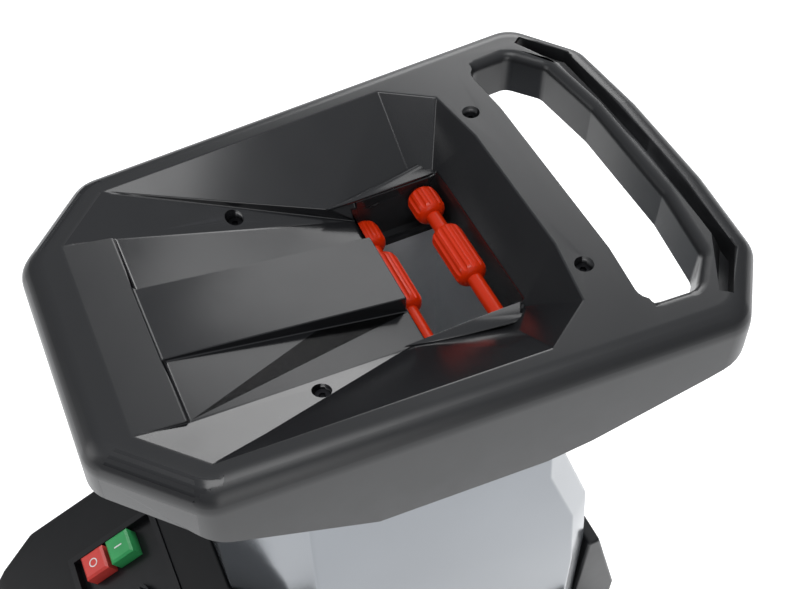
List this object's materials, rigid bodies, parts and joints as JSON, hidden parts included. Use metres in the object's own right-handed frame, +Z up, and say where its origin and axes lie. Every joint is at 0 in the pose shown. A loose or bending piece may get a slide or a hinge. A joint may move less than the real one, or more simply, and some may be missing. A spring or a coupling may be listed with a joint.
{
  "type": "garden shredder",
  "caption": "Electric garden shredder with funnel hopper, carrying handle, orange guide rollers, slow crushing roller, motor hood, wheeled base and sliding collecting box.",
  "frame": {"origin": "on the floor, under the middle of the machine's footprint", "axes": "+Z up, +Y towards the carrying handle and the wheels, -Y towards the motor hood and the collecting box's front, X across the machine along the axle"},
  "size_m": [0.436, 0.674, 0.965],
  "materials": {
    "hopper_plastic": "satin moulded plastic",
    "black_screws": "black oxide",
    "guide_orange": "semi-gloss moulded plastic",
    "bush_black": "matte",
    "chute_metal": "brushed",
    "rubber_black": "matte",
    "column_grey": "satin silver grey",
    "base_black": "satin moulded plastic",
    "hood_black": "satin moulded plastic",
    "panel_black": "satin",
    "stop_red": "semi-gloss",
    "start_green": "semi-gloss",
    "reset_red": "semi-gloss",
    "switch_grey": "matte",
    "inlet_black": "matte",
    "brass_pins": "bright",
    "capacitor_white": "drawn can",
    "cast_aluminium": "die cast",
    "zinc_steel": "zinc plated",
    "roller_steel": "hardened, worn bright at the teeth",
    "ground_steel": "ground",
    "bearing_steel": "polished",
    "counter_aluminium": "machined, scored",
    "bush_brass": "machined",
    "accent_red": "satin",
    "gear_steel": "oiled",
    "lamination_steel": "laminated",
    "winding_copper": "varnished copper",
    "fan_black": "matte",
    "wheel_plastic": "satin",
    "tyre_rubber": "matte",
    "box_plastic": "satin moulded plastic"
  },
  "bodies": {
    "machine": {"hopper": "hopper_plastic", "hopper_screws": "black_screws", "guide_bushes": "bush_black", "feed_chute": "chute_metal", "chute_gasket": "rubber_black", "column_left": "column_grey", "column_right": "column_grey", "case_screws": "black_screws", "rear_carrier": "base_black", "motor_hood": "hood_black", "hood_tray": "hood_black", "switch_box": "panel_black", "switch_block": "switch_grey", "mains_inlet": "inlet_black", "inlet_pins": "brass_pins", "capacitor": "capacitor_white", "front_plate": "cast_aluminium", "rear_plate": "cast_aluminium", "chamber_sides": "chute_metal", "unit_bolts": "zinc_steel", "roller_bearings": "bearing_steel", "adjuster_bush": "bush_brass", "gearbox_case": "cast_aluminium", "gearbox_cover": "cast_aluminium", "shaft_seal": "rubber_black", "layshaft_bearings": "bearing_steel", "motor_frame": "cast_aluminium", "stator_core": "lamination_steel", "stator_windings": "winding_copper", "motor_end_bells": "cast_aluminium", "motor_bearings": "bearing_steel", "base": "base_black", "rubber_feet": "rubber_black", "axle": "zinc_steel", "axle_caps": "zinc_steel"},
    "front_guide": {"front_guide_roller": "guide_orange"},
    "rear_guide": {"rear_guide_roller": "guide_orange"},
    "crusher": {"crushing_roller": "roller_steel", "roller_shaft": "ground_steel", "roller_gear": "gear_steel"},
    "layshaft_one": {"first_layshaft": "ground_steel", "first_gear": "gear_steel"},
    "layshaft_two": {"second_layshaft": "ground_steel", "second_gear": "gear_steel"},
    "motor_rotor": {"rotor": "lamination_steel", "motor_shaft": "ground_steel", "cooling_fan": "fan_black"},
    "gap_plate": {"counter_plate": "counter_aluminium"},
    "gap_adjuster": {"adjuster_screw": "zinc_steel", "adjuster_knob": "accent_red"},
    "stop_key": {"stop_button": "stop_red"},
    "start_key": {"start_button": "start_green"},
    "selector": {"direction_knob": "panel_black"},
    "reset_key": {"reset_button": "reset_red"},
    "wheel_left": {"left_wheel": "wheel_plastic", "left_tyre": "tyre_rubber"},
    "wheel_right": {"right_wheel": "wheel_plastic", "right_tyre": "tyre_rubber"},
    "box": {"collecting_box": "box_plastic"},
    "latch": {"box_latch": "accent_red"}
  },
  "joints": [
    {"name": "front_guide_spin", "type": "hinge", "parent": "machine", "child": "front_guide", "pos_m": [0, 0.0605, 0.895], "axis": [1, 0, 0], "continuous": true},
    {"name": "rear_guide_spin", "type": "hinge", "parent": "machine", "child": "rear_guide", "pos_m": [0, 0.112, 0.911], "axis": [1, 0, 0], "continuous": true},
    {"name": "motor_spin", "type": "hinge", "parent": "machine", "child": "motor_rotor", "pos_m": [0, -0.163, 0.5], "axis": [0, 1, 0], "continuous": true},
    {"name": "layshaft_one_spin", "type": "hinge", "parent": "machine", "child": "layshaft_one", "pos_m": [0.03148, -0.023, 0.5153], "axis": [0, 1, 0], "continuous": true},
    {"name": "layshaft_two_spin", "type": "hinge", "parent": "machine", "child": "layshaft_two", "pos_m": [0.0535, -0.023, 0.56005], "axis": [0, 1, 0], "continuous": true},
    {"name": "crusher_spin", "type": "hinge", "parent": "machine", "child": "crusher", "pos_m": [0.016, 0.09, 0.625], "axis": [0, 1, 0], "continuous": true},
    {"name": "gap_turn", "type": "hinge", "parent": "machine", "child": "gap_adjuster", "pos_m": [-0.13, 0.09, 0.625], "axis": [-1, 0, 0], "range_deg": [0, 960]},
    {"name": "gap_slide", "type": "slide", "parent": "machine", "child": "gap_plate", "axis": [-1, 0, 0], "range_m": [0, 0.004]},
    {"name": "stop_press", "type": "slide", "parent": "machine", "child": "stop_key", "axis": [0, 0.4163, -0.9092], "range_m": [0, 0.004], "stiffness_N_per_m": 600},
    {"name": "start_press", "type": "slide", "parent": "machine", "child": "start_key", "axis": [0, 0.4163, -0.9092], "range_m": [0, 0.004], "stiffness_N_per_m": 600},
    {"name": "selector_turn", "type": "hinge", "parent": "machine", "child": "selector", "pos_m": [0.021, -0.21, 0.61271], "axis": [0, -0.4163, 0.9092], "range_deg": [-45, 45]},
    {"name": "reset_press", "type": "slide", "parent": "machine", "child": "reset_key", "axis": [0, 0.4163, -0.9092], "range_m": [0, 0.003], "stiffness_N_per_m": 600},
    {"name": "left_wheel_spin", "type": "hinge", "parent": "machine", "child": "wheel_left", "pos_m": [-0.192, 0.242, 0.095], "axis": [1, 0, 0], "continuous": true},
    {"name": "right_wheel_spin", "type": "hinge", "parent": "machine", "child": "wheel_right", "pos_m": [0.192, 0.242, 0.095], "axis": [1, 0, 0], "continuous": true},
    {"name": "box_slide", "type": "slide", "parent": "machine", "child": "box", "axis": [0, -1, 0], "range_m": [0, 0.42]},
    {"name": "latch_slide", "type": "slide", "parent": "box", "child": "latch", "axis": [0, 0, 1], "range_m": [0, 0.018]}
  ],
  "couplings": [
    {"joint": "layshaft_one_spin", "follows": "motor_spin", "ratio": -0.24444},
    {"joint": "layshaft_two_spin", "follows": "motor_spin", "ratio": 0.065185},
    {"joint": "crusher_spin", "follows": "motor_spin", "ratio": -0.016296},
    {"joint": "gap_turn", "follows": "gap_slide", "rad_per_m": 4188.8}
  ]
}
